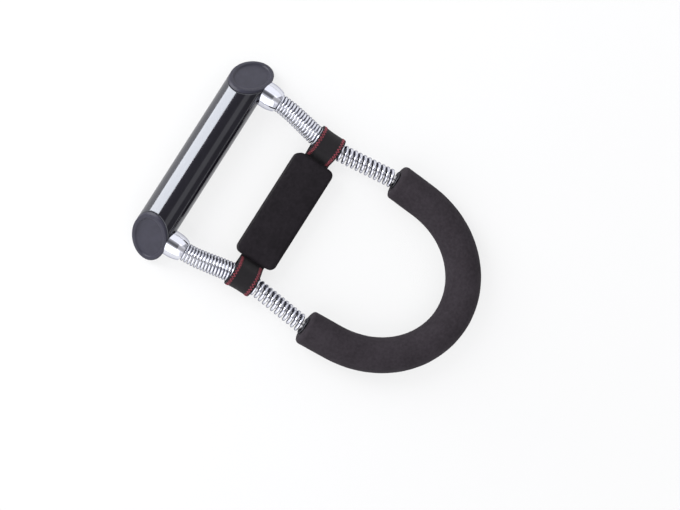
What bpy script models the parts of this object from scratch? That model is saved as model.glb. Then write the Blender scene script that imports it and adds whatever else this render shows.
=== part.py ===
# Spring wrist exerciser: a bow of bent rod in a foam sleeve, two spring arms, a crossbar grip and a
# padded sling between the arms. Metres, +Z up. It lies flat: X runs along the grip, Y from the grip
# to the bow, and the origin is the middle of the pad's underside.

import math

import bmesh
import bpy
import numpy as np
from mathutils import Matrix, Vector

# Clearances
FIT_GAP = 0.0003            # between pieces that touch
SCREW_CLEARANCE = 0.0003    # round a screw's shank, on the radius
ROD_CLEARANCE = 0.0003      # round the rod, on the radius, in its sleeve and its washers
LOOP_CLEARANCE = 0.0005     # between a strap loop and the spring inside it

# Grip: a plastic tube on a steel core, closed by two slanted caps
GRIP_DIAMETER = 0.028
GRIP_OVERHANG = 0.0053      # on its axis, from an arm's centre line to the slanted face
GRIP_WALL = 0.003
CORE_WALL = 0.002
MITRE_ANGLE = math.radians(45)   # slant of the end faces against a square cut
MITRE_ROLL = math.radians(67)    # turns the slant from straight ahead (0) to straight up (90)
CAP_PLATE = 0.0018
CAP_RIM = 0.0018
CAP_RECESS = 0.0006
CAP_SPIGOT_LENGTH = 0.016
GRIP_TO_SLING = 0.071

# Spring cups: chromed sockets that stand on the grip and hold the front springs
CUP_DIAMETER = 0.0188
CUP_LENGTH = 0.0116         # from the grip's surface to the mouth
CUP_FLOOR = 0.0036          # from the grip's surface to the bottom of the socket
CUP_MOUTH_WALL = 0.0008
CUP_SHOULDER = 0.0085       # length of the bell-shaped shoulder that narrows to the mouth
SCREW_DIAMETER = 0.005
SCREW_HEAD_HEIGHT = 0.0042
SCREW_HEAD_CHAMFER = 0.0007

# Arms: half spacings of their centre lines, and where they bend
ARM_HALF_AT_GRIP = 0.0617
ARM_HALF_AT_FOAM = 0.0612
PAD_TO_ARM = 0.0127         # from the pad's end to the corner of the arm's centre line beside it
ARM_BEND_RADIUS = 0.095
ARM_STRAIGHT_PAST_CUP = 0.0075
ROD_BEND_RADIUS = 0.040

# Springs: the front ones are close wound and widen from the cup to the coupler, and the rear ones
# are open wound round the rod
FRONT_SPRING_CUP_DIAMETER = 0.0132
FRONT_WIRE_DIAMETER = 0.0017
FRONT_CURL_GAP = 0.0007
REAR_WIRE_DIAMETER = 0.0023
REAR_CURL_GAP = 0.0014
REAR_SPRING_PLAY = 0.0008   # between the rod and the spring round it, on the radius
CURL_POINTS = 8

# Couplers: each caps an end of the rod, inside the strap loop. Its plug holds the front spring and
# its collar parts the two springs of the arm.
COUPLER_PLUG_LENGTH = 0.0075
COUPLER_SOCKET_DEPTH = 0.006
COUPLER_WALL = 0.00095
COLLAR_DIAMETER = 0.0136
COLLAR_WIDTH = 0.0014

# Bow: the bent rod, its foam sleeve and the washers that the rear springs bear on
ROD_DIAMETER = 0.007
SLING_TO_FOAM = 0.0553
BOW_LEG_LENGTH = 0.0202     # from the foam's end to where the round of the bow is widest
BOW_DRAW_IN = 0.0013        # how far the legs lean in along that length
BOW_DEPTH = 0.068           # from there to the apex, on the rod's centre line
FOAM_DIAMETER = 0.026
FOAM_END_ROUNDING = 0.0028
WASHER_DIAMETER = 0.0135
WASHER_THICKNESS = 0.0010

# Sling: one strap, looped round both arms and sewn back on itself, and the foam pad it runs through
STRAP_WIDTH = 0.0190
STRAP_PLY = 0.0013
LOOP_TIP_GAP = 0.0015       # from the pad's end to where the two plies part
LOOP_SEAM_LENGTH = 0.0030
PAD_LENGTH = 0.084
PAD_WIDTH = 0.032
PAD_THICKNESS = 0.017
PAD_CORNER_RADIUS = 0.005
PAD_EDGE_RADIUS = 0.0038
PAD_CROWN = 0.0012
PAD_DRAWN_IN = 0.0008       # how far the pad's sides are drawn in at half its height

# Facets
ROUND_SEGMENTS = 48
SADDLE_SEGMENTS = 64
CUP_SEGMENTS = 40
SMALL_SEGMENTS = 32
HOLE_SEGMENTS = 20
FAT_TUBE_RESOLUTION = 6
THIN_TUBE_RESOLUTION = 3
CURL_RESOLUTION = 1
BOW_STEPS = 20              # in each half of the bow
BEND_STEPS = 8
SHOULDER_STEPS = 7
FOAM_END_STEPS = 3
LOOP_STEPS = 24
STRAP_CUTS = 6
PAD_CUTS = 3
PAD_CORNER_STEPS = 5
PAD_EDGE_STEPS = 4
SHARP_ANGLE = math.radians(32)
WELD_DISTANCE = 0.000001
SMOOTHING = 0.001           # the arm's direction is read over this length, to either side


def room_inside(diameter, wire):
    # The radius of what clears a coil's wire from within: its curls are many-sided, so they come in
    # between their points.
    return (diameter - wire) / 2 * CURL_SQUEEZE - wire / 2 - FIT_GAP


def coil_round(radius, wire):
    # The diameter of a coil that clears a core of this radius.
    return 2 * (radius + FIT_GAP + wire / 2) / CURL_SQUEEZE + wire


# Places and sizes that follow from those above
CURL_SQUEEZE = math.cos(math.pi / CURL_POINTS)
ARM_HEIGHT = FOAM_DIAMETER / 2          # the foam sleeve and the grip both lie on Z = 0
ARM_HALF_AT_SLING = PAD_LENGTH / 2 + PAD_TO_ARM
GRIP_CENTRE = Vector((0, -GRIP_TO_SLING, GRIP_DIAMETER / 2))
GRIP_HALF_LENGTH = ARM_HALF_AT_GRIP + GRIP_OVERHANG
TUBE_BORE_RADIUS = GRIP_DIAMETER / 2 - GRIP_WALL
CORE_RADIUS = TUBE_BORE_RADIUS - FIT_GAP
CORE_BORE_RADIUS = CORE_RADIUS - CORE_WALL
CUP_MOUTH_Y = GRIP_CENTRE.y + GRIP_DIAMETER / 2 + CUP_LENGTH
SOCKET_FLOOR_Y = GRIP_CENTRE.y + GRIP_DIAMETER / 2 + CUP_FLOOR
SOCKET_RADIUS = FRONT_SPRING_CUP_DIAMETER / 2 + FIT_GAP
SCREW_HEAD_RADIUS = room_inside(FRONT_SPRING_CUP_DIAMETER, FRONT_WIRE_DIAMETER)
SCREW_HOLE_RADIUS = SCREW_DIAMETER / 2 + SCREW_CLEARANCE
ROD_BORE_DIAMETER = ROD_DIAMETER + 2 * ROD_CLEARANCE
COUPLER_PLUG_RADIUS = ROD_BORE_DIAMETER / 2 + COUPLER_WALL
FRONT_SPRING_PLUG_DIAMETER = coil_round(COUPLER_PLUG_RADIUS, FRONT_WIRE_DIAMETER)
REAR_SPRING_DIAMETER = ROD_DIAMETER + 2 * (REAR_SPRING_PLAY + REAR_WIRE_DIAMETER)
LOOP_TIP_X = PAD_LENGTH / 2 + LOOP_TIP_GAP
STRAP_HEIGHT = PAD_THICKNESS / 2        # the strap runs through the middle of the pad
FLEX_AXIS = Vector((0, (CUP_MOUTH_Y - STRAP_WIDTH / 2) / 2, ARM_HEIGHT))
SIDES = {"left": -1, "right": 1}


def clear_scene():
    for thing in list(bpy.data.objects):
        bpy.data.objects.remove(thing, do_unlink=True)


def new_collection(name):
    made = bpy.data.collections.new(name)
    bpy.context.scene.collection.children.link(made)
    return made


def new_material(name, colour, roughness, metallic):
    made = bpy.data.materials.new(name)
    made.use_nodes = True
    shader = made.node_tree.nodes["Principled BSDF"]
    shader.inputs["Base Color"].default_value = (*colour, 1)
    shader.inputs["Roughness"].default_value = roughness
    shader.inputs["Metallic"].default_value = metallic
    return made


clear_scene()
PARTS = new_collection("wrist_exerciser")
CUTTERS = new_collection("cutters")
GLOSS_BLACK = new_material("gloss_black_plastic", (0.018, 0.017, 0.021), 0.16, 0)
CAP_BLACK = new_material("satin_black_plastic", (0.060, 0.058, 0.075), 0.42, 0)
CHROME = new_material("chrome", (0.80, 0.80, 0.82), 0.08, 1)
SPRING_STEEL = new_material("spring_steel", (0.74, 0.73, 0.74), 0.16, 1)
PLAIN_STEEL = new_material("plain_steel", (0.55, 0.55, 0.56), 0.32, 1)
FOAM_BLACK = new_material("foam", (0.042, 0.038, 0.043), 0.92, 0)
PAD_BLACK = new_material("pad_foam", (0.026, 0.023, 0.028), 0.90, 0)
STRAP_BLACK = new_material("strap_fabric", (0.022, 0.018, 0.022), 0.88, 0)


def link(thing, material):
    PARTS.objects.link(thing)
    thing.data.materials.append(material)
    return thing


def as_cutter(thing):
    PARTS.objects.unlink(thing)
    CUTTERS.objects.link(thing)
    thing.hide_render = True
    thing.display_type = "WIRE"
    return thing


def combine(thing, tool, operation):
    modifier = thing.modifiers.new(operation.lower() + "_" + tool.name, "BOOLEAN")
    modifier.operation = operation
    modifier.object = as_cutter(tool)
    modifier.solver = "EXACT"
    return thing


def frame_along(origin, direction):
    turn = Vector((0, 0, 1)).rotation_difference(direction)
    return Matrix.Translation(origin) @ turn.to_matrix().to_4x4()


def object_from_bmesh(name, bm, material):
    mesh = bpy.data.meshes.new(name)
    bm.to_mesh(mesh)
    bm.free()
    mesh.shade_smooth()
    mesh.set_sharp_from_angle(angle=SHARP_ANGLE)
    return link(bpy.data.objects.new(name, mesh), material)


def cylinder(name, radius, start, end, material, segments=ROUND_SEGMENTS, planes=()):
    # A solid cylinder between two points. What lies on the outer side of each (point, normal) is cut away.
    bm = bmesh.new()
    bmesh.ops.create_cone(bm, cap_ends=True, segments=segments, radius1=radius, radius2=radius,
                          depth=(end - start).length)
    bm.transform(frame_along((start + end) / 2, (end - start).normalized()))
    for point, normal in planes:
        everything = bm.verts[:] + bm.edges[:] + bm.faces[:]
        bmesh.ops.bisect_plane(bm, geom=everything, plane_co=point, plane_no=normal, clear_outer=True)
        bmesh.ops.holes_fill(bm, edges=[e for e in bm.edges if e.is_boundary])
    return object_from_bmesh(name, bm, material)


def turned(name, profile, closed, origin, direction, material, segments=SMALL_SEGMENTS):
    # Profile points are (radius, height). They run down the outer side, top to bottom.
    mesh = bpy.data.meshes.new(name)
    count = len(profile)
    edges = [(i, (i + 1) % count) for i in range(count if closed else count - 1)]
    mesh.from_pydata([(radius, 0, height) for radius, height in profile], edges, [])
    thing = link(bpy.data.objects.new(name, mesh), material)
    screw = thing.modifiers.new("turn", "SCREW")
    screw.steps = screw.render_steps = segments
    screw.use_merge_vertices = True
    screw.merge_threshold = WELD_DISTANCE
    screw.use_smooth_shade = True
    thing.matrix_world = frame_along(origin, direction)
    return thing


def poly_tube(name, points, diameter, material, resolution, radii=None):
    curve = bpy.data.curves.new(name, "CURVE")
    curve.dimensions = "3D"
    curve.bevel_depth = diameter / 2
    curve.bevel_resolution = resolution
    curve.use_fill_caps = True
    spline = curve.splines.new("POLY")
    spline.points.add(len(points) - 1)
    for i, point in enumerate(points):
        spline.points[i].co = (*point, 1)
        spline.points[i].radius = radii[i] if radii else 1
    return link(bpy.data.objects.new(name, curve), material)


def made_mesh(thing):
    # A curve's evaluated shape as a mesh object, with its caps welded on.
    evaluated = thing.evaluated_get(bpy.context.evaluated_depsgraph_get())
    mesh = bpy.data.meshes.new_from_object(evaluated)
    bm = bmesh.new()
    bm.from_mesh(mesh)
    bmesh.ops.remove_doubles(bm, verts=bm.verts, dist=WELD_DISTANCE)
    bm.to_mesh(mesh)
    bm.free()
    name, place = thing.name, thing.matrix_world.copy()
    bpy.data.objects.remove(thing, do_unlink=True)
    mesh_object = bpy.data.objects.new(name, mesh)
    PARTS.objects.link(mesh_object)
    mesh_object.matrix_world = place
    return mesh_object


def fillet(before, corner, after, radius):
    # Points along the arc that rounds the corner of two straight lines, within half of each.
    d1 = (corner - before).normalized()
    d2 = (after - corner).normalized()
    turn = math.atan2(d1.x * d2.y - d1.y * d2.x, d1.dot(d2))
    room = min((corner - before).length, (after - corner).length) / 2
    reach = min(radius * math.tan(abs(turn) / 2), room)
    start = corner - d1 * reach
    centre = start + Vector((-d1.y, d1.x)) * reach / math.tan(turn / 2)
    return [centre + Matrix.Rotation(turn * i / BEND_STEPS, 2) @ (start - centre)
            for i in range(BEND_STEPS + 1)]


def bow_arc(foam_end):
    # The right half of the bow's round: part of an ellipse, from where a line from the foam's end
    # runs into it without a kink, to the apex.
    across, deep = foam_end.x - BOW_DRAW_IN, BOW_DEPTH
    centre_y = foam_end.y + BOW_LEG_LENGTH
    x, y = foam_end.x / across, -BOW_LEG_LENGTH / deep
    first = math.atan2(y, x) + math.acos(1 / math.hypot(x, y))
    angles = [first + (math.pi / 2 - first) * i / BOW_STEPS for i in range(BOW_STEPS + 1)]
    return [Vector((across * math.cos(a), centre_y + deep * math.sin(a))) for a in angles]


def arm_route():
    # The right arm's centre line in plan, from the bottom of the cup's socket to the bow's apex.
    floor = Vector((ARM_HALF_AT_GRIP, SOCKET_FLOOR_Y))
    leaves_cup = Vector((ARM_HALF_AT_GRIP, CUP_MOUTH_Y + ARM_STRAIGHT_PAST_CUP))
    sling = Vector((ARM_HALF_AT_SLING, 0))
    foam_end = Vector((ARM_HALF_AT_FOAM, SLING_TO_FOAM))
    bow = bow_arc(foam_end)
    points = [floor]
    points += fillet(floor, leaves_cup, sling, ARM_BEND_RADIUS)
    points += fillet(leaves_cup, sling, foam_end, ARM_BEND_RADIUS)
    points += fillet(sling, foam_end, bow[0], ROD_BEND_RADIUS)
    return points + bow


class Route:
    # A line in plan at the arms' height, measured along its length.
    def __init__(self, points, side):
        self.points = [Vector((side * p.x, p.y, ARM_HEIGHT)) for p in points]
        self.lengths = [0.0]
        for a, b in zip(self.points, self.points[1:]):
            self.lengths.append(self.lengths[-1] + (b - a).length)

    def at(self, length):
        x, y = (float(np.interp(length, self.lengths, [p[k] for p in self.points])) for k in (0, 1))
        return Vector((x, y, ARM_HEIGHT))

    def along(self, length):
        return (self.at(length + SMOOTHING) - self.at(length - SMOOTHING)).normalized()

    def length_at_y(self, y):
        return float(np.interp(y, [p.y for p in self.points], self.lengths))

    def between(self, start, end):
        inner = [p for p, length in zip(self.points, self.lengths)
                 if start + FIT_GAP < length < end - FIT_GAP]
        return [self.at(start), *inner, self.at(end)]


# Along an arm, SLING_LENGTH is where the middle of the sling is and ROD_START where the rod begins.
ROUTES = {side: Route(arm_route(), sign) for side, sign in SIDES.items()}
RIGHT = ROUTES["right"]
SLING_LENGTH = RIGHT.length_at_y(0)
ROD_START = SLING_LENGTH + COLLAR_WIDTH / 2 - COUPLER_SOCKET_DEPTH + FIT_GAP


def mitre_plane(sign, inset):
    # The plane of a grip end face, moved inwards by inset. Its normal points out of the grip.
    slant = Vector((0, -math.cos(MITRE_ROLL), math.sin(MITRE_ROLL)))
    normal = Vector((sign * math.cos(MITRE_ANGLE), 0, 0)) + slant * math.sin(MITRE_ANGLE)
    return grip_point(sign * GRIP_HALF_LENGTH) - normal * inset, normal


def grip_point(x):
    return GRIP_CENTRE + Vector((x, 0, 0))


def build_grip_tubes():
    reach = GRIP_HALF_LENGTH + GRIP_DIAMETER * 2
    ends = [mitre_plane(sign, CAP_PLATE + FIT_GAP) for sign in SIDES.values()]
    tube = cylinder("grip_tube", GRIP_DIAMETER / 2, grip_point(-reach), grip_point(reach), GLOSS_BLACK,
                    planes=ends)
    core = cylinder("grip_core", CORE_RADIUS, grip_point(-reach), grip_point(reach), PLAIN_STEEL,
                    planes=ends)
    for shell, bore in ((tube, TUBE_BORE_RADIUS), (core, CORE_BORE_RADIUS)):
        cutter = cylinder(shell.name + "_bore", bore, grip_point(-reach), grip_point(reach), PLAIN_STEEL)
        combine(shell, cutter, "DIFFERENCE")
        for side, sign in SIDES.items():
            hole = cylinder(f"{shell.name}_hole_{side}", SCREW_HOLE_RADIUS,
                            screw_line(sign, 0), screw_line(sign, GRIP_DIAMETER), PLAIN_STEEL,
                            HOLE_SEGMENTS)
            combine(shell, hole, "DIFFERENCE")


def screw_line(sign, distance):
    # A point on the cup screw's axis, so far from the grip's axis.
    return Vector((sign * ARM_HALF_AT_GRIP, GRIP_CENTRE.y + distance, ARM_HEIGHT))


def build_cap(side, sign):
    outer = mitre_plane(sign, 0)
    back_point, normal = mitre_plane(sign, CAP_PLATE)
    middle = mitre_plane(sign, CAP_PLATE / 2)
    far = GRIP_HALF_LENGTH + GRIP_DIAMETER * 2
    span = (grip_point(0), grip_point(sign * far))
    cap = cylinder(f"end_cap_{side}", GRIP_DIAMETER / 2, *span, CAP_BLACK,
                   planes=[outer, (back_point, -normal)])
    spigot_end = GRIP_HALF_LENGTH - CAP_SPIGOT_LENGTH - CAP_PLATE / math.cos(MITRE_ANGLE)
    spigot = cylinder(f"spigot_{side}", CORE_BORE_RADIUS - FIT_GAP, grip_point(sign * spigot_end),
                      grip_point(sign * far), CAP_BLACK, SMALL_SEGMENTS, planes=[middle])
    combine(cap, spigot, "UNION")
    floor_point, _ = mitre_plane(sign, CAP_RECESS)
    recess = cylinder(f"recess_{side}", GRIP_DIAMETER / 2 - CAP_RIM, *span, CAP_BLACK,
                      planes=[(floor_point, -normal)])
    combine(cap, recess, "DIFFERENCE")


def build_cup(side, sign):
    mouth = CUP_MOUTH_Y - GRIP_CENTRE.y
    floor = SOCKET_FLOOR_Y - GRIP_CENTRE.y
    base = GRIP_DIAMETER / 2 - GRIP_WALL
    axis = Vector((0, 1, 0))
    mouth_radius = SOCKET_RADIUS + CUP_MOUTH_WALL
    widening = CUP_DIAMETER / 2 - mouth_radius
    quarter = [math.pi / 2 * i / SHOULDER_STEPS for i in range(SHOULDER_STEPS + 1)]
    profile = [(mouth_radius + widening * math.sin(a) ** 2, mouth - CUP_SHOULDER * (1 - math.cos(a)))
               for a in quarter]
    profile += [(CUP_DIAMETER / 2, base),
                (SCREW_HOLE_RADIUS, base),
                (SCREW_HOLE_RADIUS, floor),
                (SOCKET_RADIUS, floor),
                (SOCKET_RADIUS, mouth)]
    cup = turned(f"spring_cup_{side}", profile, True, screw_line(sign, 0), axis, CHROME, CUP_SEGMENTS)
    reach = CUP_DIAMETER
    middle = sign * ARM_HALF_AT_GRIP
    saddle = cylinder(f"saddle_{side}", GRIP_DIAMETER / 2 + FIT_GAP,
                      grip_point(middle - reach), grip_point(middle + reach), CHROME, SADDLE_SEGMENTS)
    combine(cup, saddle, "DIFFERENCE")

    shank = SCREW_DIAMETER / 2
    head = SCREW_HEAD_RADIUS
    seat = floor + FIT_GAP
    top = seat + SCREW_HEAD_HEIGHT
    tip = CORE_BORE_RADIUS + FIT_GAP
    screw = [(0, top), (head - SCREW_HEAD_CHAMFER, top), (head, top - SCREW_HEAD_CHAMFER),
             (head, seat), (shank, seat), (shank, tip), (0, tip)]
    turned(f"cup_screw_{side}", screw, False, screw_line(sign, 0), axis, PLAIN_STEEL)


def coil(name, route, start, end, diameters, wire, curl_gap):
    # One unbroken helix round the arm's centre line, from start to end, its ends of these diameters.
    first, last = start + wire / 2, end - wire / 2
    count = round((last - first) / (wire + curl_gap) * CURL_POINTS)
    up = Vector((0, 0, 1))
    points = []
    for i in range(count + 1):
        share = i / count
        length = first + (last - first) * share
        radius = (diameters[0] + (diameters[1] - diameters[0]) * share - wire) / 2
        angle = 2 * math.pi * i / CURL_POINTS
        across = up.cross(route.along(length))
        points.append(route.at(length) + (across * math.cos(angle) + up * math.sin(angle)) * radius)
    gap = self_gap(points, wire)
    print(f"{name}: {count / CURL_POINTS:.1f} curls, least gap to itself {gap * 1000:.2f} mm")
    poly_tube(name, points, wire, SPRING_STEEL, CURL_RESOLUTION)


def self_gap(points, wire):
    # Least distance between points that lie over half a curl apart, less the wire.
    fine = []
    for a, b in zip(points, points[1:]):
        fine += [a, (a + b) / 2]
    places = np.array(fine)
    apart = CURL_POINTS + 1
    least = min(float(np.linalg.norm(places[i + apart:] - places[i], axis=1).min())
                for i in range(len(places) - apart))
    return least - wire


def build_arm(side):
    route = ROUTES[side]
    collar = COLLAR_WIDTH / 2
    washer_end = route.length_at_y(SLING_TO_FOAM) - FIT_GAP
    washer_start = washer_end - WASHER_THICKNESS
    front_ends = (route.length_at_y(SOCKET_FLOOR_Y) + FIT_GAP, SLING_LENGTH - collar - FIT_GAP)
    rear_ends = (SLING_LENGTH + collar + FIT_GAP, washer_start - FIT_GAP)
    front_diameters = (FRONT_SPRING_CUP_DIAMETER, front_spring_end(*front_ends))
    rear_diameters = (REAR_SPRING_DIAMETER, REAR_SPRING_DIAMETER)
    coil(f"front_spring_{side}", route, *front_ends, front_diameters, FRONT_WIRE_DIAMETER, FRONT_CURL_GAP)
    coil(f"rear_spring_{side}", route, *rear_ends, rear_diameters, REAR_WIRE_DIAMETER, REAR_CURL_GAP)

    plug_line = route.between(SLING_LENGTH - collar - COUPLER_PLUG_LENGTH, SLING_LENGTH)
    coupler = made_mesh(poly_tube(f"coupler_{side}", plug_line, COUPLER_PLUG_RADIUS * 2, PLAIN_STEEL,
                                  FAT_TUBE_RESOLUTION))
    disc = cylinder(f"collar_{side}", COLLAR_DIAMETER / 2, route.at(SLING_LENGTH - collar),
                    route.at(SLING_LENGTH + collar), PLAIN_STEEL, SMALL_SEGMENTS)
    combine(coupler, disc, "UNION")
    socket_line = route.between(ROD_START - FIT_GAP, SLING_LENGTH + COLLAR_WIDTH)
    socket = made_mesh(poly_tube(f"rod_socket_{side}", socket_line, ROD_BORE_DIAMETER, PLAIN_STEEL,
                                 FAT_TUBE_RESOLUTION))
    combine(coupler, socket, "DIFFERENCE")

    outer, bore = WASHER_DIAMETER / 2, ROD_BORE_DIAMETER / 2
    ring = [(outer, WASHER_THICKNESS), (outer, 0), (bore, 0), (bore, WASHER_THICKNESS)]
    turned(f"spring_washer_{side}", ring, True, route.at(washer_start),
           route.along((washer_start + washer_end) / 2), PLAIN_STEEL)


def front_spring_end(start, end):
    # The front spring's diameter at the collar: it has its fit on the plug at the plug's far end.
    share = COUPLER_PLUG_LENGTH / (end - start)
    return (FRONT_SPRING_PLUG_DIAMETER - FRONT_SPRING_CUP_DIAMETER * share) / (1 - share)


def bow_line(start):
    # The rod's centre line from one arm round the bow to the other, from so far along each arm.
    half = RIGHT.between(start, RIGHT.lengths[-1])
    return half + [Vector((-p.x, p.y, p.z)) for p in reversed(half[:-1])]


def build_bow():
    poly_tube("frame_rod", bow_line(ROD_START), ROD_DIAMETER, PLAIN_STEEL, THIN_TUBE_RESOLUTION)

    foam_start = RIGHT.length_at_y(SLING_TO_FOAM)
    quarter = [math.pi / 2 * i / FOAM_END_STEPS for i in range(FOAM_END_STEPS + 1)]
    head = [(RIGHT.at(foam_start + FOAM_END_ROUNDING * (1 - math.cos(a))),
             1 - FOAM_END_ROUNDING * (1 - math.sin(a)) / (FOAM_DIAMETER / 2)) for a in quarter]
    middle = [(p, 1.0) for p in bow_line(foam_start + FOAM_END_ROUNDING * 2)]
    tail = [(Vector((-p.x, p.y, p.z)), share) for p, share in reversed(head)]
    whole = head + middle + tail
    foam = made_mesh(poly_tube("foam_sleeve", [p for p, _ in whole], FOAM_DIAMETER, FOAM_BLACK,
                               FAT_TUBE_RESOLUTION, [share for _, share in whole]))
    bore = made_mesh(poly_tube("foam_bore", bow_line(foam_start - FOAM_DIAMETER / 2), ROD_BORE_DIAMETER,
                               FOAM_BLACK, THIN_TUBE_RESOLUTION))
    combine(foam, bore, "DIFFERENCE")


def tangent_point(point, centre, radius, upper):
    # Where a line from the point touches the circle, on its upper or its lower side.
    towards = centre - point
    spread = math.asin(radius / towards.length)
    angle = math.atan2(towards.y, towards.x) + (spread if upper else -spread)
    reach = math.sqrt(towards.length_squared - radius ** 2)
    return point + Vector((math.cos(angle), math.sin(angle))) * reach


def round_the_arm(centre, radius, low, high):
    # A line in X and Z from the low point outwards, round the arm and back to the high point.
    first = tangent_point(low, centre, radius, False) - centre
    last = tangent_point(high, centre, radius, True) - centre
    begin = math.atan2(first.y, first.x)
    sweep = (math.atan2(last.y, last.x) - begin) % (2 * math.pi)
    angles = [begin + sweep * i / LOOP_STEPS for i in range(LOOP_STEPS + 1)]
    return [low, *(centre + Vector((math.cos(a), math.sin(a))) * radius for a in angles), high]


def mirrored(outline):
    return [Vector((-p.x, p.y)) for p in reversed(outline)]


def build_strap():
    centre = Vector((RIGHT.at(SLING_LENGTH).x, ARM_HEIGHT))
    widest = max(FRONT_SPRING_PLUG_DIAMETER, REAR_SPRING_DIAMETER, COLLAR_DIAMETER)
    inner_radius = widest / 2 + LOOP_CLEARANCE
    low = Vector((LOOP_TIP_X, STRAP_HEIGHT - STRAP_PLY))
    high = Vector((LOOP_TIP_X, STRAP_HEIGHT + STRAP_PLY))
    meet = Vector((LOOP_TIP_X + LOOP_SEAM_LENGTH, STRAP_HEIGHT))
    outer = round_the_arm(centre, inner_radius + STRAP_PLY, low, high)
    inner = round_the_arm(centre, inner_radius, meet, meet)[:-1]
    outlines = [outer + mirrored(outer), inner, mirrored(inner)]
    strap = extruded("sling_strap", outlines, STRAP_WIDTH, STRAP_BLACK)
    follow_arms(strap, centre.x)


def extruded(name, outlines, width, material):
    # Closed outlines in X and Z, the first with the others as holes, with the width along Y.
    curve = bpy.data.curves.new(name, "CURVE")
    curve.dimensions = "2D"
    curve.fill_mode = "BOTH"
    curve.extrude = width / 2
    for outline in outlines:
        spline = curve.splines.new("POLY")
        spline.points.add(len(outline) - 1)
        for point, place in zip(spline.points, outline):
            point.co = (place.x, place.y, 0, 1)
        spline.use_cyclic_u = True
    thing = link(bpy.data.objects.new(name, curve), material)
    thing.rotation_euler = (math.pi / 2, 0, 0)
    bpy.context.view_layer.update()
    return made_mesh(thing)


def follow_arms(strap, at_sling):
    # Bends the strap's loops sideways so that they keep round the arms, which aren't straight there.
    bm = bmesh.new()
    bm.from_mesh(strap.data)
    bm.transform(strap.matrix_world)
    for i in range(1, STRAP_CUTS):
        everything = bm.verts[:] + bm.edges[:] + bm.faces[:]
        place = (0, STRAP_WIDTH * (i / STRAP_CUTS - 0.5), 0)
        bmesh.ops.bisect_plane(bm, geom=everything, plane_co=place, plane_no=(0, 1, 0))
    for vert in bm.verts:
        shift = RIGHT.at(RIGHT.length_at_y(vert.co.y)).x - at_sling
        weight = min(1, max(0, (abs(vert.co.x) - LOOP_TIP_X) / (at_sling - LOOP_TIP_X)))
        vert.co.x += math.copysign(shift * weight, vert.co.x)
    bm.to_mesh(strap.data)
    bm.free()
    strap.data.shade_smooth()
    strap.data.set_sharp_from_angle(angle=SHARP_ANGLE)
    strap.matrix_world = Matrix.Identity(4)


def block(name, sizes, height, material):
    # A box whose middle is over the origin, at this height.
    bm = bmesh.new()
    bmesh.ops.create_cube(bm, size=1)
    bm.transform(Matrix.Translation((0, 0, height)) @ Matrix.Diagonal((*sizes, 1)))
    return object_from_bmesh(name, bm, material)


def build_pad():
    half = Vector((PAD_LENGTH, PAD_WIDTH, PAD_THICKNESS)) / 2
    bm = bmesh.new()
    bmesh.ops.create_cube(bm, size=2)
    bm.transform(Matrix.Diagonal((*half, 1)))
    upright = [e for e in bm.edges if abs(e.verts[0].co.z - e.verts[1].co.z) > half.z]
    bmesh.ops.bevel(bm, geom=upright, offset=PAD_CORNER_RADIUS, segments=PAD_CORNER_STEPS, profile=0.5,
                    affect="EDGES")
    rims = [e for e in bm.edges if abs(e.verts[0].co.z + e.verts[1].co.z) > half.z]
    bmesh.ops.bevel(bm, geom=rims, offset=PAD_EDGE_RADIUS, segments=PAD_EDGE_STEPS, profile=0.5,
                    affect="EDGES")
    for axis in range(3):
        for i in range(1, PAD_CUTS + 1):
            place, normal = Vector((0, 0, 0)), Vector((0, 0, 0))
            place[axis] = half[axis] * (2 * i / (PAD_CUTS + 1) - 1)
            normal[axis] = 1
            everything = bm.verts[:] + bm.edges[:] + bm.faces[:]
            bmesh.ops.bisect_plane(bm, geom=everything, plane_co=place, plane_no=normal)
    for vert in bm.verts:
        u, v, w = (vert.co[k] / half[k] for k in range(3))
        vert.co.z += half.z + PAD_CROWN * (1 - u * u) * (1 - v * v) * max(0, w)
        vert.co.x -= PAD_DRAWN_IN * (1 - w * w) * u
        vert.co.y -= PAD_DRAWN_IN * (1 - w * w) * v
    pad = object_from_bmesh("wrist_pad", bm, PAD_BLACK)
    slot = block("strap_slot", (PAD_LENGTH * 2, STRAP_WIDTH + 2 * FIT_GAP, 2 * STRAP_PLY + 2 * FIT_GAP),
                 STRAP_HEIGHT, PAD_BLACK)
    combine(pad, slot, "DIFFERENCE")


def hang_on(name, location, pieces):
    # An empty on a joint's axis, with the pieces that move about it as its children.
    empty = bpy.data.objects.new(name, None)
    PARTS.objects.link(empty)
    empty.location = location
    bpy.context.view_layer.update()
    for piece in pieces:
        piece.parent = empty
        piece.matrix_parent_inverse = empty.matrix_world.inverted()


build_grip_tubes()
for side_name, side_sign in SIDES.items():
    build_cap(side_name, side_sign)
    build_cup(side_name, side_sign)
    build_arm(side_name)
build_bow()
build_strap()
build_pad()
grip_names = ("grip_", "end_cap_", "spring_cup_", "cup_screw_")
hang_on("flex_axis", FLEX_AXIS, [thing for thing in PARTS.objects if thing.name.startswith(grip_names)])
hang_on("sling_slide", (0, 0, STRAP_HEIGHT), [PARTS.objects["sling_strap"], PARTS.objects["wrist_pad"]])
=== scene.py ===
import math

import bmesh
import bpy
import numpy as np
from mathutils import Matrix, Vector, noise


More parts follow.
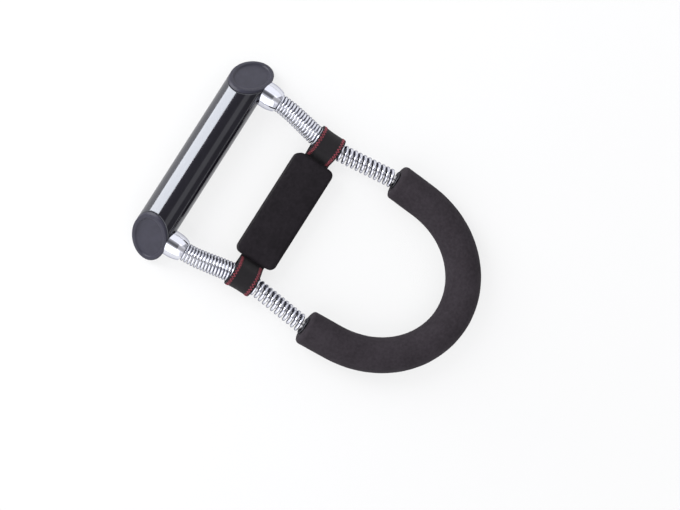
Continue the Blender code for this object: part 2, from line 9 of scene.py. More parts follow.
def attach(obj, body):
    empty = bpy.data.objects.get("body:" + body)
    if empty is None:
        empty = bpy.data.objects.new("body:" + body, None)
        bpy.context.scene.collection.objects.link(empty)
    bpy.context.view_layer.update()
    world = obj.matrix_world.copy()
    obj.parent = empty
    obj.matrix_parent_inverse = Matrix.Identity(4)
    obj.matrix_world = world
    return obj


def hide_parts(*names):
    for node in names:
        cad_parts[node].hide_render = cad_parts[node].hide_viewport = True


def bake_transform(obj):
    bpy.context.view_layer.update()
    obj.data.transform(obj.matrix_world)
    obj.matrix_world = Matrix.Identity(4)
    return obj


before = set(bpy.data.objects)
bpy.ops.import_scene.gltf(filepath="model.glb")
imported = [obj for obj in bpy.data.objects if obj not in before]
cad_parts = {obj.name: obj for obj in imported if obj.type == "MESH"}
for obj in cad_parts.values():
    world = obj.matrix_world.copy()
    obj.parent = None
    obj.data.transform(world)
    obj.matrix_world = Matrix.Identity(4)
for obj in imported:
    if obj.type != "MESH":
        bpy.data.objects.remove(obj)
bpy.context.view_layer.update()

print("frame loaded:", len(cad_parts), "nodes")

# All sizes are metres. X runs along the grip, Y from the grip to the bow, Z up.
sides = {"left": -1, "right": 1}
up = Vector((0, 0, 1))


def deselectAll():
    if bpy.context.object is not None and bpy.context.object.mode != "OBJECT":
        bpy.ops.object.mode_set(mode="OBJECT")
    bpy.ops.object.select_all(action="DESELECT")


def activate(piece):
    deselectAll()
    piece.select_set(True)
    bpy.context.view_layer.objects.active = piece


def startEditing(piece, everything=False):
    activate(piece)
    bpy.ops.object.mode_set(mode="EDIT")
    bpy.ops.mesh.select_mode(type="FACE")
    bpy.ops.mesh.select_all(action="SELECT" if everything else "DESELECT")


def stopEditing():
    bpy.ops.object.mode_set(mode="OBJECT")


def nameLast(name):
    # the object that the last operator added, its place moved into its mesh
    piece = bpy.context.object
    piece.name = name
    piece.data.name = name
    bpy.ops.object.transform_apply(location=True, rotation=True, scale=True)
    return piece


def addCylinder(name, radius, length, centre, segments, ends="NGON"):
    # it lies along X
    deselectAll()
    bpy.ops.mesh.primitive_cylinder_add(vertices=segments, radius=radius, depth=length,
                                        end_fill_type=ends, location=centre,
                                        rotation=(0, math.pi / 2, 0))
    return nameLast(name)


def addBox(name, size):
    deselectAll()
    bpy.ops.mesh.primitive_cube_add(size=1)
    box = nameLast(name)
    startEditing(box, everything=True)
    bpy.ops.transform.resize(value=size, center_override=(0, 0, 0))
    stopEditing()
    return box


def addMesh(data):
    # a piece from a mesh built in code, its faces turned outwards
    piece = bpy.data.objects.new(data.name, data)
    bpy.context.scene.collection.objects.link(piece)
    startEditing(piece, everything=True)
    bpy.ops.mesh.normals_make_consistent(inside=False)
    stopEditing()
    return piece


def addModifier(piece, kind, **values):
    modifier = piece.modifiers.new(kind.lower(), kind)
    for key, value in values.items():
        setattr(modifier, key, value)
    activate(piece)
    bpy.ops.object.modifier_apply(modifier=modifier.name)


def combine(piece, tool, operation):
    addModifier(piece, "BOOLEAN", operation=operation, solver="EXACT", object=tool)
    bpy.data.objects.remove(tool, do_unlink=True)


def selectFaces(piece, wanted):
    mesh = bmesh.from_edit_mesh(piece.data)
    for face in mesh.faces:
        face.select_set(wanted(face))
    mesh.select_flush_mode()
    bmesh.update_edit_mesh(piece.data)


def selectEdges(piece, wanted):
    bpy.ops.mesh.select_mode(type="EDGE")
    mesh = bmesh.from_edit_mesh(piece.data)
    for edge in mesh.edges:
        edge.select_set(wanted(edge))
    bmesh.update_edit_mesh(piece.data)


def cutAtPlane(piece, point, normal, fill=False, keepAll=False):
    # keeps what lies behind the plane, or only adds a loop there
    startEditing(piece, everything=True)
    bpy.ops.mesh.bisect(plane_co=point, plane_no=normal, use_fill=fill, clear_outer=not keepAll,
                        threshold=0.000001)
    stopEditing()


def roundEdges(piece, width, angle=30, segments=3):
    addModifier(piece, "BEVEL", width=width, segments=segments, limit_method="ANGLE",
                angle_limit=math.radians(angle), use_clamp_overlap=True, harden_normals=False)


def smoothShade(piece, angle=35):
    activate(piece)
    bpy.ops.object.shade_smooth_by_angle(angle=math.radians(angle))


def dress(piece, material, slotName, body, *nodes):
    # finish, place in the model and the node that the piece stands for
    piece.data.materials.clear()
    piece.data.materials.append(material)
    if body:
        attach(piece, body)
    if nodes:
        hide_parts(*nodes)
    print("made", piece.name, "with", len(piece.data.polygons), "faces")


def tubeAlong(name, points, radius, sideCount, shares=None):
    # a round tube swept along points, closed at both ends; shares of the radius narrow it
    curve = bpy.data.curves.new(name, "CURVE")
    curve.dimensions = "3D"
    curve.bevel_depth = radius
    curve.bevel_resolution = (sideCount - 4) // 2
    curve.use_fill_caps = True
    spline = curve.splines.new("POLY")
    spline.points.add(len(points) - 1)
    for i, point in enumerate(points):
        spline.points[i].co = (*point, 1)
        spline.points[i].radius = shares[i] if shares else 1
    tube = bpy.data.objects.new(name, curve)
    bpy.context.scene.collection.objects.link(tube)
    activate(tube)
    bpy.ops.object.convert(target="MESH")
    tube = bpy.context.object
    startEditing(tube, everything=True)
    bpy.ops.mesh.remove_doubles(threshold=0.000001)
    bpy.ops.mesh.normals_make_consistent(inside=False)
    stopEditing()
    return tube


def turnOnLathe(name, rings, segments):
    # a closed section, drawn out ring by ring; each ring is (radius, height)
    deselectAll()
    radius, height = rings[0]
    bpy.ops.mesh.primitive_circle_add(vertices=segments, radius=radius, location=(0, 0, height))
    piece = nameLast(name)
    startEditing(piece, everything=True)
    bpy.ops.mesh.select_mode(type="EDGE")
    bpy.ops.mesh.select_all(action="SELECT")
    for nextRadius, nextHeight in rings[1:] + rings[:1]:
        rise = (0, 0, nextHeight - height)
        bpy.ops.mesh.extrude_region_move(TRANSFORM_OT_translate={"value": rise})
        share = nextRadius / radius
        bpy.ops.transform.resize(value=(share, share, 1), center_override=(0, 0, nextHeight))
        radius, height = nextRadius, nextHeight
    bpy.ops.mesh.select_all(action="SELECT")
    bpy.ops.mesh.remove_doubles(threshold=0.000002)
    bpy.ops.mesh.normals_make_consistent(inside=False)
    stopEditing()
    return piece


# The arms' middle lines, which springs, rod, foam and strap all follow.
arms = {
    "height": 0.013,
    "halfAtGrip": 0.0617,          # X of the right arm at the grip
    "halfAtSling": 0.0547,
    "halfAtFoam": 0.0612,
    "cupFloor": -0.0534,           # Y of the bottom of a cup's socket
    "cupMouth": -0.0454,
    "straightPastCup": 0.0075,
    "foamEnd": 0.0553,
    "bendRadius": 0.095,           # at the cups and at the sling
    "rodBendRadius": 0.040,        # at the foam's ends
    "legLength": 0.0202,           # from the foam's ends to the middle of the bow's oval
    "drawIn": 0.0013,              # by which half the oval is narrower than the foam's ends stand
    "bowDepth": 0.068,             # from the oval's middle to the far end of the bow
    "bendSteps": 24,
    "bowSteps": 90,
}


def roundedCorner(before, corner, after, radius):
    arriving = (corner - before).normalized()
    leaving = (after - corner).normalized()
    turn = math.atan2(arriving.x * leaving.y - arriving.y * leaving.x, arriving.dot(leaving))
    room = min((corner - before).length, (after - corner).length) / 2
    reach = min(radius * math.tan(abs(turn) / 2), room)
    start = corner - arriving * reach
    centre = start + Vector((-arriving.y, arriving.x)) * reach / math.tan(turn / 2)
    steps = arms["bendSteps"]
    return [centre + Matrix.Rotation(turn * i / steps, 2) @ (start - centre)
            for i in range(steps + 1)]


def rightArmLine():
    floor = Vector((arms["halfAtGrip"], arms["cupFloor"]))
    pastCup = Vector((arms["halfAtGrip"], arms["cupMouth"] + arms["straightPastCup"]))
    sling = Vector((arms["halfAtSling"], 0))
    foamEnd = Vector((arms["halfAtFoam"], arms["foamEnd"]))
    across, deep = foamEnd.x - arms["drawIn"], arms["bowDepth"]
    x, y = foamEnd.x / across, -arms["legLength"] / deep
    first = math.atan2(y, x) + math.acos(1 / math.hypot(x, y))   # the leg touches the oval here
    oval = []
    for i in range(arms["bowSteps"] + 1):
        angle = first + (math.pi / 2 - first) * i / arms["bowSteps"]
        oval.append(Vector((across * math.cos(angle),
                            foamEnd.y + arms["legLength"] + deep * math.sin(angle))))
    line = [floor]
    line += roundedCorner(floor, pastCup, sling, arms["bendRadius"])
    line += roundedCorner(pastCup, sling, foamEnd, arms["bendRadius"])
    line += roundedCorner(sling, foamEnd, oval[0], arms["rodBendRadius"])
    return line + oval


armPoints = np.array([(p.x, p.y) for p in rightArmLine()])
armSteps = np.linalg.norm(np.diff(armPoints, axis=0), axis=1)
armLengths = np.concatenate(([0], np.cumsum(armSteps)))


def armAt(sign, length):
    x = float(np.interp(length, armLengths, armPoints[:, 0]))
    y = float(np.interp(length, armLengths, armPoints[:, 1]))
    return Vector((sign * x, y, arms["height"]))


def armDirection(sign, length, reach=0.001):
    return (armAt(sign, length + reach) - armAt(sign, length - reach)).normalized()


def armLengthAtY(y):
    return float(np.interp(y, armPoints[:, 1], armLengths))


def layAlongArm(piece, sign, start):
    # a piece made upright is laid along the arm, its height zero at this length
    for vert in piece.data.vertices:
        length = start + vert.co.z
        across = up.cross(armDirection(sign, length))
        vert.co = armAt(sign, length) + across * vert.co.x + up * vert.co.y
    piece.data.update()


def bowLine(start, step):
    # the rod's line from one arm round the bow to the other, in even steps
    half = armLengths[-1] - start
    count = max(2, round(half / step))
    right = [armAt(1, start + half * i / count) for i in range(count + 1)]
    return right + [Vector((-p.x, p.y, p.z)) for p in reversed(right[:-1])]


slingLength = armLengthAtY(0)
print("arm line ready:", len(armPoints), "points,", round(armLengths[-1] * 1000, 1), "mm")


def newMaterial(name):
    material = bpy.data.materials.new(name)
    material.use_nodes = True
    tree = material.node_tree
    return material, tree, tree.nodes["Principled BSDF"]


def addNoise(tree, scale, detail=3, roughness=0.55, stretch=(1, 1, 1)):
    place = tree.nodes.new("ShaderNodeTexCoord")
    mapping = tree.nodes.new("ShaderNodeMapping")
    mapping.inputs["Scale"].default_value = stretch
    texture = tree.nodes.new("ShaderNodeTexNoise")
    texture.inputs["Scale"].default_value = scale
    texture.inputs["Detail"].default_value = detail
    texture.inputs["Roughness"].default_value = roughness
    tree.links.new(place.outputs["Object"], mapping.inputs["Vector"])
    tree.links.new(mapping.outputs["Vector"], texture.inputs["Vector"])
    return texture.outputs["Fac"]


def addRamp(tree, value, *stops):
    # each stop is (position, colour)
    ramp = tree.nodes.new("ShaderNodeValToRGB")
    elements = ramp.color_ramp.elements
    while len(elements) < len(stops):
        elements.new(0.5)
    for element, (position, colour) in zip(elements, stops):
        element.position = position
        element.color = (*colour, 1)
    tree.links.new(value, ramp.inputs["Fac"])
    return ramp.outputs["Color"]


def addRange(tree, value, low, high, fromLow=0.3, fromHigh=0.7):
    spread = tree.nodes.new("ShaderNodeMapRange")
    spread.inputs["From Min"].default_value = fromLow
    spread.inputs["From Max"].default_value = fromHigh
    spread.inputs["To Min"].default_value = low
    spread.inputs["To Max"].default_value = high
    tree.links.new(value, spread.inputs["Value"])
    return spread.outputs["Result"]


def addBump(tree, height, strength, distance, before=None):
    bump = tree.nodes.new("ShaderNodeBump")
    bump.inputs["Strength"].default_value = strength
    bump.inputs["Distance"].default_value = distance
    tree.links.new(height, bump.inputs["Height"])
    if before is not None:
        tree.links.new(before, bump.inputs["Normal"])
    return bump.outputs["Normal"]


def maths(tree, operation, first, second=None):
    # each value is a number or another node's output
    node = tree.nodes.new("ShaderNodeMath")
    node.operation = operation
    for i, value in enumerate((first, second)):
        if isinstance(value, (int, float)):
            node.inputs[i].default_value = value
        elif value is not None:
            tree.links.new(value, node.inputs[i])
    return node.outputs[0]


def connect(tree, shader, tint, bump, dull=None):
    tree.links.new(tint, shader.inputs["Base Color"])
    tree.links.new(bump, shader.inputs["Normal"])
    if dull is not None:
        tree.links.new(dull, shader.inputs["Roughness"])


def glossPlastic():
    material, tree, shader = newMaterial("glossPlastic")
    haze = addNoise(tree, 90, 4)
    tint = addRamp(tree, haze, (0.35, (0.0065, 0.0055, 0.0090)), (0.65, (0.0100, 0.0085, 0.0130)))
    rub = addNoise(tree, 420, 5, 0.7, (0.15, 1, 1))       # faint rub marks along the tube
    dull = addRange(tree, rub, 0.08, 0.17)
    ripple = addNoise(tree, 60, 2)
    connect(tree, shader, tint, addBump(tree, ripple, 0.06, 0.0004), dull)
    shader.inputs["IOR"].default_value = 1.62
    shader.inputs["Specular IOR Level"].default_value = 1.0
    shader.inputs["Specular Tint"].default_value = (0.91, 0.94, 1.0, 1)
    return material


def satinPlastic():
    material, tree, shader = newMaterial("satinPlastic")
    cloud = addNoise(tree, 130, 4)
    tint = addRamp(tree, cloud, (0.35, (0.031, 0.030, 0.045)), (0.65, (0.039, 0.0375, 0.056)))
    grain = addNoise(tree, 3200, 3, 0.6)
    dull = addRange(tree, grain, 0.36, 0.50)
    fine = addBump(tree, grain, 0.20, 0.00008)
    flow = addNoise(tree, 70, 2)
    connect(tree, shader, tint, addBump(tree, flow, 0.10, 0.0004, fine), dull)
    shader.inputs["Specular IOR Level"].default_value = 0.35
    return material


def chromePlate():
    material, tree, shader = newMaterial("chromePlate")
    smudge = addNoise(tree, 240, 5, 0.65)
    tint = addRamp(tree, smudge, (0.3, (0.75, 0.76, 0.83)), (0.7, (0.81, 0.82, 0.89)))
    dull = addRange(tree, smudge, 0.035, 0.10)
    wave = addNoise(tree, 150, 2)
    connect(tree, shader, tint, addBump(tree, wave, 0.05, 0.0003), dull)
    shader.inputs["Metallic"].default_value = 1.0
    shader.inputs["Specular Tint"].default_value = (0.45, 0.45, 0.50, 1)
    return material


def springWire():
    material, tree, shader = newMaterial("springWire")
    face = tree.nodes.new("ShaderNodeAttribute")
    face.attribute_name = "wireFace"      # 1 outside the coil, 0 on its flanks, -1 inside
    film = addNoise(tree, 300, 4)
    curlShadeAndFilm = maths(tree, "ADD", face.outputs["Fac"], maths(tree, "MULTIPLY", film, 0.3))
    # painted shade: the wire is darker on its flanks and inside the coil, where the neighbouring
    # curls shade it, with a faint random film over it
    tint = addRamp(tree, curlShadeAndFilm, (0.16, (0.26, 0.26, 0.30)), (0.60, (0.79, 0.80, 0.87)))
    drawn = addNoise(tree, 1800, 4, 0.6)
    dull = addRange(tree, drawn, 0.15, 0.25)
    connect(tree, shader, tint, addBump(tree, drawn, 0.06, 0.00006), dull)
    shader.inputs["Metallic"].default_value = 1.0
    shader.inputs["Specular Tint"].default_value = (0.12, 0.12, 0.15, 1)
    return material


def brightSteel():
    material, tree, shader = newMaterial("brightSteel")
    streak = addNoise(tree, 700, 5, 0.65, (1, 0.12, 1))
    tint = addRamp(tree, streak, (0.3, (0.52, 0.52, 0.53)), (0.7, (0.62, 0.61, 0.61)))
    dull = addRange(tree, streak, 0.18, 0.34)
    connect(tree, shader, tint, addBump(tree, streak, 0.10, 0.00008), dull)
    shader.inputs["Metallic"].default_value = 1.0
    return material


def burnishedSteel():
    material, tree, shader = newMaterial("burnishedSteel")
    patch = addNoise(tree, 500, 5, 0.6)
    tint = addRamp(tree, patch, (0.3, (0.055, 0.055, 0.062)), (0.7, (0.11, 0.11, 0.12)))
    dull = addRange(tree, patch, 0.28, 0.45)
    connect(tree, shader, tint, addBump(tree, patch, 0.08, 0.00008), dull)
    shader.inputs["Metallic"].default_value = 1.0
    shader.inputs["Specular Tint"].default_value = (0.4, 0.4, 0.42, 1)
    return material


def cellFoam(name, dark, light, cellScale, depth):
    # closed-cell foam: a skin of tiny cells over a slow mottle
    material, tree, shader = newMaterial(name)
    mottle = addNoise(tree, 55, 4, 0.6)
    patch = addNoise(tree, 420, 3, 0.6)
    speck = addNoise(tree, cellScale, 2, 0.6)
    mixing = maths(tree, "ADD", maths(tree, "MULTIPLY", mottle, 0.35),
                   maths(tree, "MULTIPLY", patch, 0.40))
    mixing = maths(tree, "ADD", mixing, maths(tree, "MULTIPLY", speck, 0.25))
    tint = addRamp(tree, mixing, (0.40, dark), (0.60, light))
    place = tree.nodes.new("ShaderNodeTexCoord")
    cells = tree.nodes.new("ShaderNodeTexVoronoi")
    cells.inputs["Scale"].default_value = cellScale
    tree.links.new(place.outputs["Object"], cells.inputs["Vector"])
    pores = addBump(tree, cells.outputs["Distance"], 0.45, depth)
    soft = addBump(tree, mottle, 0.25, 0.0006, pores)
    connect(tree, shader, tint, soft, addRange(tree, speck, 0.80, 0.95))
    shader.inputs["Specular IOR Level"].default_value = 0.18
    return material


weave = {
    "column": 0.0019,              # width after which the ribs turn back
    "rib": 0.00095,                # from rib to rib along the strap
    "slant": 1.6,                  # ribs that one column climbs
    "yarn": 0.00048,               # from yarn to yarn across the strap
    "depth": 0.00018,
}


def wovenStrap():
    # herringbone webbing; its UV map is in metres, along and across the strap
    material, tree, shader = newMaterial("wovenStrap")
    uv = tree.nodes.new("ShaderNodeUVMap")
    uv.uv_map = "strap"
    parts = tree.nodes.new("ShaderNodeSeparateXYZ")
    tree.links.new(uv.outputs["UV"], parts.inputs["Vector"])
    along, across = parts.outputs["X"], parts.outputs["Y"]

    def sineOf(value):
        return maths(tree, "SINE", maths(tree, "MULTIPLY", value, 2 * math.pi))

    climb = maths(tree, "PINGPONG", maths(tree, "DIVIDE", across, weave["column"]), 1.0)
    slope = maths(tree, "ADD", maths(tree, "DIVIDE", along, weave["rib"]),
                  maths(tree, "MULTIPLY", climb, weave["slant"]))
    rib = sineOf(slope)
    yarn = sineOf(maths(tree, "DIVIDE", across, weave["yarn"]))
    height = maths(tree, "ADD", maths(tree, "MULTIPLY", rib, 0.7),
                   maths(tree, "MULTIPLY", yarn, 0.3))
    fuzz = addNoise(tree, 2600, 4, 0.7)
    # painted shade: the weave's grooves are darker than its ribs, over a random fibre tone
    grooveShadeAndFuzz = maths(tree, "ADD", maths(tree, "MULTIPLY", height, 0.22), fuzz)
    tint = addRamp(tree, grooveShadeAndFuzz, (0.22, (0.007, 0.006, 0.007)), (0.80, (0.024, 0.021, 0.024)))
    ribbed = addBump(tree, height, 0.7, weave["depth"])
    connect(tree, shader, tint, addBump(tree, fuzz, 0.35, 0.0001, ribbed))
    shader.inputs["Roughness"].default_value = 0.82
    shader.inputs["Specular IOR Level"].default_value = 0.2
    shader.inputs["Sheen Weight"].default_value = 0.08
    shader.inputs["Sheen Roughness"].default_value = 0.5
    return material


def redThread():
    material, tree, shader = newMaterial("redThread")
    strand = addNoise(tree, 2400, 3, 0.6)
    worn = addNoise(tree, 650, 3, 0.6)
    tint = addRamp(tree, worn, (0.38, (0.13, 0.010, 0.020)), (0.62, (0.35, 0.040, 0.064)))
    connect(tree, shader, tint, addBump(tree, strand, 0.5, 0.00008))
    shader.inputs["Roughness"].default_value = 0.6
    shader.inputs["Sheen Weight"].default_value = 0.2
    return material


glossMaterial = glossPlastic()
satinMaterial = satinPlastic()
chromeMaterial = chromePlate()
wireMaterial = springWire()
steelMaterial = brightSteel()
darkSteelMaterial = burnishedSteel()
foamMaterial = cellFoam("sleeveFoam", (0.0265, 0.0216, 0.0260), (0.0417, 0.0348, 0.0414),
                        2600, 0.00014)
padMaterial = cellFoam("padFoam", (0.0092, 0.0074, 0.0094), (0.0170, 0.0138, 0.0172),
                       3000, 0.00012)
strapMaterial = wovenStrap()
threadMaterial = redThread()
print("materials ready")


grip = {
    "centre": (0, -0.071, 0.014),
    "radius": 0.014,
    "wall": 0.003,
    "halfLength": 0.067,           # on the axis, to the slanted end faces
    "spare": 0.06,                 # length that the slanted cuts take from, both ends together
    "slant": 45,
    "roll": 67,                    # turns the slant from straight ahead (0) to straight up (90)
    "capPlate": 0.0018,
    "gap": 0.0002,
    "edge": 0.0003,
    "holdingLoops": (0.0008, 0.003),   # from the tube's ends, to keep its shading straight
    "segments": 128,
}


def slantedPlane(sign, inset):
    slant, roll = math.radians(grip["slant"]), math.radians(grip["roll"])
    lean = Vector((0, -math.cos(roll), math.sin(roll)))
    normal = Vector((sign * math.cos(slant), 0, 0)) + lean * math.sin(slant)
    point = Vector(grip["centre"]) + Vector((sign * grip["halfLength"], 0, 0)) - normal * inset
    return point, normal


def makeGripTube():
    length = 2 * grip["halfLength"] + grip["spare"]
    tube = addCylinder("gripTube", grip["radius"], length, grip["centre"], grip["segments"],
                       ends="NOTHING")
    addModifier(tube, "SOLIDIFY", thickness=grip["wall"], offset=-1)
    for sign in sides.values():
        point, normal = slantedPlane(sign, grip["capPlate"] + grip["gap"])
        cutAtPlane(tube, point, normal)
        for inset in grip["holdingLoops"]:
            cutAtPlane(tube, point - normal * inset, normal, keepAll=True)
    startEditing(tube)
    for sign in sides.values():
        selectEdges(tube, lambda edge: edge.is_boundary and edge.verts[0].co.x * sign > 0)
        bpy.ops.mesh.bridge_edge_loops()
        bpy.ops.mesh.select_all(action="DESELECT")
    stopEditing()
    roundEdges(tube, grip["edge"])
    smoothShade(tube)
    dress(tube, glossMaterial, "gloss_black_plastic", "grip", "grip_tube")


cap = {
    "blank": 0.07,                 # length of the cylinder that the slanted plate is cut from
    "rim": 0.0024,
    "recess": 0.0012,
    "recessSlope": 0.0010,
    "recessMargin": 0.0010,        # a ring that keeps the shading of the sunken face flat
    "edge": 0.00035,
    "sunk": 0.0003,                # how far the spigot runs into the plate
    "spigotRadius": 0.0084,
    "spigotDepth": 0.034,          # from the middle of the slanted face
    "spigotSpare": 0.012,          # what stands out of that face before it is cut off
    "spigotSegments": 64,
}


def makeEndCap(side, sign):
    centre = Vector(grip["centre"]) + Vector((sign * grip["halfLength"], 0, 0))
    plate = addCylinder(f"endCap{side.capitalize()}", grip["radius"], cap["blank"], centre,
                        grip["segments"])
    outer, normal = slantedPlane(sign, 0)
    inner, _ = slantedPlane(sign, grip["capPlate"])
    cutAtPlane(plate, outer, normal, fill=True)
    cutAtPlane(plate, inner, -normal, fill=True)
    startEditing(plate)
    selectFaces(plate, lambda face: face.normal.dot(normal) > 0.99)
    bpy.ops.mesh.inset(thickness=cap["rim"], use_even_offset=True)
    bpy.ops.mesh.inset(thickness=cap["recessSlope"], depth=-cap["recess"], use_even_offset=True)
    bpy.ops.mesh.inset(thickness=cap["recessMargin"], use_even_offset=True)
    stopEditing()
    roundEdges(plate, cap["edge"], angle=20, segments=4)

    joint, _ = slantedPlane(sign, grip["capPlate"] - cap["sunk"])
    length = cap["spigotDepth"] + cap["spigotSpare"]
    middle = centre - Vector((sign * (length / 2 - cap["spigotSpare"]), 0, 0))
    spigot = addCylinder("spigot", cap["spigotRadius"], length, middle, cap["spigotSegments"])
    cutAtPlane(spigot, joint, normal, fill=True)
    combine(plate, spigot, "UNION")
    smoothShade(plate, 30)
    dress(plate, satinMaterial, "satin_black_plastic", "grip", f"end_cap_{side}")


cup = {
    "radius": 0.0094,
    "length": 0.0116,              # from the grip's surface to the mouth
    "floor": 0.0036,
    "mouthRadius": 0.0077,
    "socketRadius": 0.0069,
    "shoulder": 0.0085,
    "shoulderSteps": 20,
    "screwHole": 0.0028,
    "base": 0.011,                 # from the grip's axis, inside the tube's wall
    "lip": 0.00025,
    "saddle": 0.04,                # length of the cylinder that cuts the foot to the grip's round
    "segments": 128,
}


def makeSpringCup(side, sign):
    mouth = grip["radius"] + cup["length"]
    floor = grip["radius"] + cup["floor"]
    widening = cup["radius"] - cup["mouthRadius"]
    rings = [(cup["screwHole"], cup["base"]), (cup["radius"], cup["base"])]
    for i in range(cup["shoulderSteps"] + 1):
        angle = math.pi / 2 * (1 - i / cup["shoulderSteps"])
        rings.append((cup["mouthRadius"] + widening * math.sin(angle) ** 2,
                      mouth - cup["lip"] - cup["shoulder"] * (1 - math.cos(angle))))
    rings += [(cup["mouthRadius"] - cup["lip"], mouth), (cup["socketRadius"] + cup["lip"], mouth),
              (cup["socketRadius"], mouth - cup["lip"]), (cup["socketRadius"], floor),
              (cup["screwHole"], floor)]
    shell = turnOnLathe(f"springCup{side.capitalize()}", rings, cup["segments"])
    turn = Matrix.Rotation(-math.pi / 2, 4, "X")
    place = Vector((sign * arms["halfAtGrip"], grip["centre"][1], arms["height"]))
    shell.data.transform(Matrix.Translation(place) @ turn)
    saddle = addCylinder("saddle", grip["radius"] + grip["gap"], cup["saddle"],
                         (place.x, *grip["centre"][1:]), grip["segments"])
    combine(shell, saddle, "DIFFERENCE")
    smoothShade(shell, 40)
    dress(shell, chromeMaterial, "chrome", "grip", f"spring_cup_{side}")


springs = {
    "frontWire": 0.0020,
    "frontCurls": 21.25,
    "frontCupDiameter": 0.0132,
    "frontCollarDiameter": 0.01487,
    "rearWire": 0.0023,
    "rearCurls": 13.75,
    "rearDiameter": 0.0132,
    "collarWidth": 0.0014,
    "gap": 0.0003,
    "stepsInCurl": 28,
    "wireSides": 14,
}


def windSpring(name, sign, start, end, diameters, wire, curls):
    first, last = start + wire / 2, end - wire / 2

    def coilRadius(share):
        return (diameters[0] + (diameters[1] - diameters[0]) * share - wire) / 2

    count = round(curls * springs["stepsInCurl"])
    points = []
    for i in range(count + 1):
        share = i / count
        length = first + (last - first) * share
        angle = 2 * math.pi * curls * share
        across = up.cross(armDirection(sign, length))
        outwards = across * math.cos(angle) + up * math.sin(angle)
        points.append(armAt(sign, length) + outwards * coilRadius(share))
    coil = tubeAlong(name, points, wire / 2, springs["wireSides"])
    smoothShade(coil, 50)
    # where each point lies round the wire, from which the wire's material paints shade on the
    # curls' flanks and inside the coil
    facing = coil.data.attributes.new("wireFace", "FLOAT", "POINT")
    for vert, value in zip(coil.data.vertices, facing.data):
        length = armLengthAtY(vert.co.y)
        length += (vert.co - armAt(sign, length)).dot(armDirection(sign, length))
        share = min(1, max(0, (length - first) / (last - first)))
        distance = (vert.co - armAt(sign, length)).length
        value.value = (distance - coilRadius(share)) / (wire / 2)
    return coil


washer = {
    "radius": 0.00675,
    "bore": 0.0038,                # its radius
    "thickness": 0.0010,
    "edge": 0.0002,
    "segments": 64,
}


def makeWasher(side, sign, start):
    outer, bore = washer["radius"], washer["bore"]
    thick, edge = washer["thickness"], washer["edge"]
    rings = [(bore, edge), (bore + edge, 0), (outer - edge, 0), (outer, edge),
             (outer, thick - edge), (outer - edge, thick), (bore + edge, thick),
             (bore, thick - edge)]
    disc = turnOnLathe(f"springWasher{side.capitalize()}", rings, washer["segments"])
    layAlongArm(disc, sign, start)
    smoothShade(disc, 30)
    dress(disc, darkSteelMaterial, "plain_steel", "bow", f"spring_washer_{side}")


def makeSprings(side, sign):
    halfCollar = springs["collarWidth"] / 2
    gap = springs["gap"]
    frontStart = armLengthAtY(arms["cupFloor"]) + gap
    frontEnd = slingLength - halfCollar - gap
    washerStart = armLengthAtY(arms["foamEnd"]) - gap - washer["thickness"]
    rearStart = slingLength + halfCollar + gap
    rearEnd = washerStart - gap
    front = windSpring(f"frontSpring{side.capitalize()}", sign, frontStart, frontEnd,
                       (springs["frontCupDiameter"], springs["frontCollarDiameter"]),
                       springs["frontWire"], springs["frontCurls"])
    dress(front, wireMaterial, "spring_steel", None, f"front_spring_{side}")
    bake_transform(front)
    rear = windSpring(f"rearSpring{side.capitalize()}", sign, rearStart, rearEnd,
                      (springs["rearDiameter"], springs["rearDiameter"]),
                      springs["rearWire"], springs["rearCurls"])
    dress(rear, wireMaterial, "spring_steel", "bow", f"rear_spring_{side}")
    makeWasher(side, sign, washerStart)


bow = {
    "rodDiameter": 0.007,
    "rodSides": 40,
    "rodStep": 0.0015,
    "rodStart": 0.0046,            # before the middle of the sling, inside the coupler
    "boreDiameter": 0.0076,
    "boreSides": 24,
    "boreStep": 0.002,
    "boreSpare": 0.01,             # how far the tool that cuts the bore stands out of the foam
    "foamDiameter": 0.026,
    "foamSides": 72,
    "foamStep": 0.0012,
    "endRounding": 0.0028,
    "endSteps": 9,
    "evenFrom": 1.3,               # roundings from the end at which the even steps begin
    "unevenness": 0.00016,
    "unevennessScale": 70,
    "finer": 2.7,                  # times the scale, for a second and weaker layer
    "shrink": 0.75,                # unevennesses by which the skin is drawn in all over
}


def makeBow():
    rod = tubeAlong("frameRod", bowLine(slingLength - bow["rodStart"], bow["rodStep"]),
                    bow["rodDiameter"] / 2, bow["rodSides"])
    smoothShade(rod, 50)
    dress(rod, steelMaterial, "plain_steel", "bow", "frame_rod")

    foamStart = armLengthAtY(arms["foamEnd"])
    rounding, radius = bow["endRounding"], bow["foamDiameter"] / 2
    head = []                      # each row is (point, share of the radius)
    for i in range(bow["endSteps"] + 1):
        angle = math.pi / 2 * i / bow["endSteps"]
        head.append((armAt(1, foamStart + rounding * (1 - math.cos(angle))),
                     1 - rounding * (1 - math.sin(angle)) / radius))
    evenStart = foamStart + rounding * bow["evenFrom"]
    middle = [(point, 1.0) for point in bowLine(evenStart, bow["foamStep"])]
    tail = [(Vector((-point.x, point.y, point.z)), share) for point, share in reversed(head)]
    whole = head + middle + tail
    foam = tubeAlong("foamSleeve", [point for point, _ in whole], radius, bow["foamSides"],
                     [share for _, share in whole])
    for vert in foam.data.vertices:
        at = vert.co * bow["unevennessScale"]
        bulge = noise.noise(at) + 0.5 * noise.noise(at * bow["finer"])
        vert.co -= vert.normal * bow["unevenness"] * (bow["shrink"] - bulge * 0.5)
    bore = tubeAlong("foamBore", bowLine(foamStart - bow["boreSpare"], bow["boreStep"]),
                     bow["boreDiameter"] / 2, bow["boreSides"])
    combine(foam, bore, "DIFFERENCE")
    smoothShade(foam, 40)
    dress(foam, foamMaterial, "foam", "bow", "foam_sleeve")


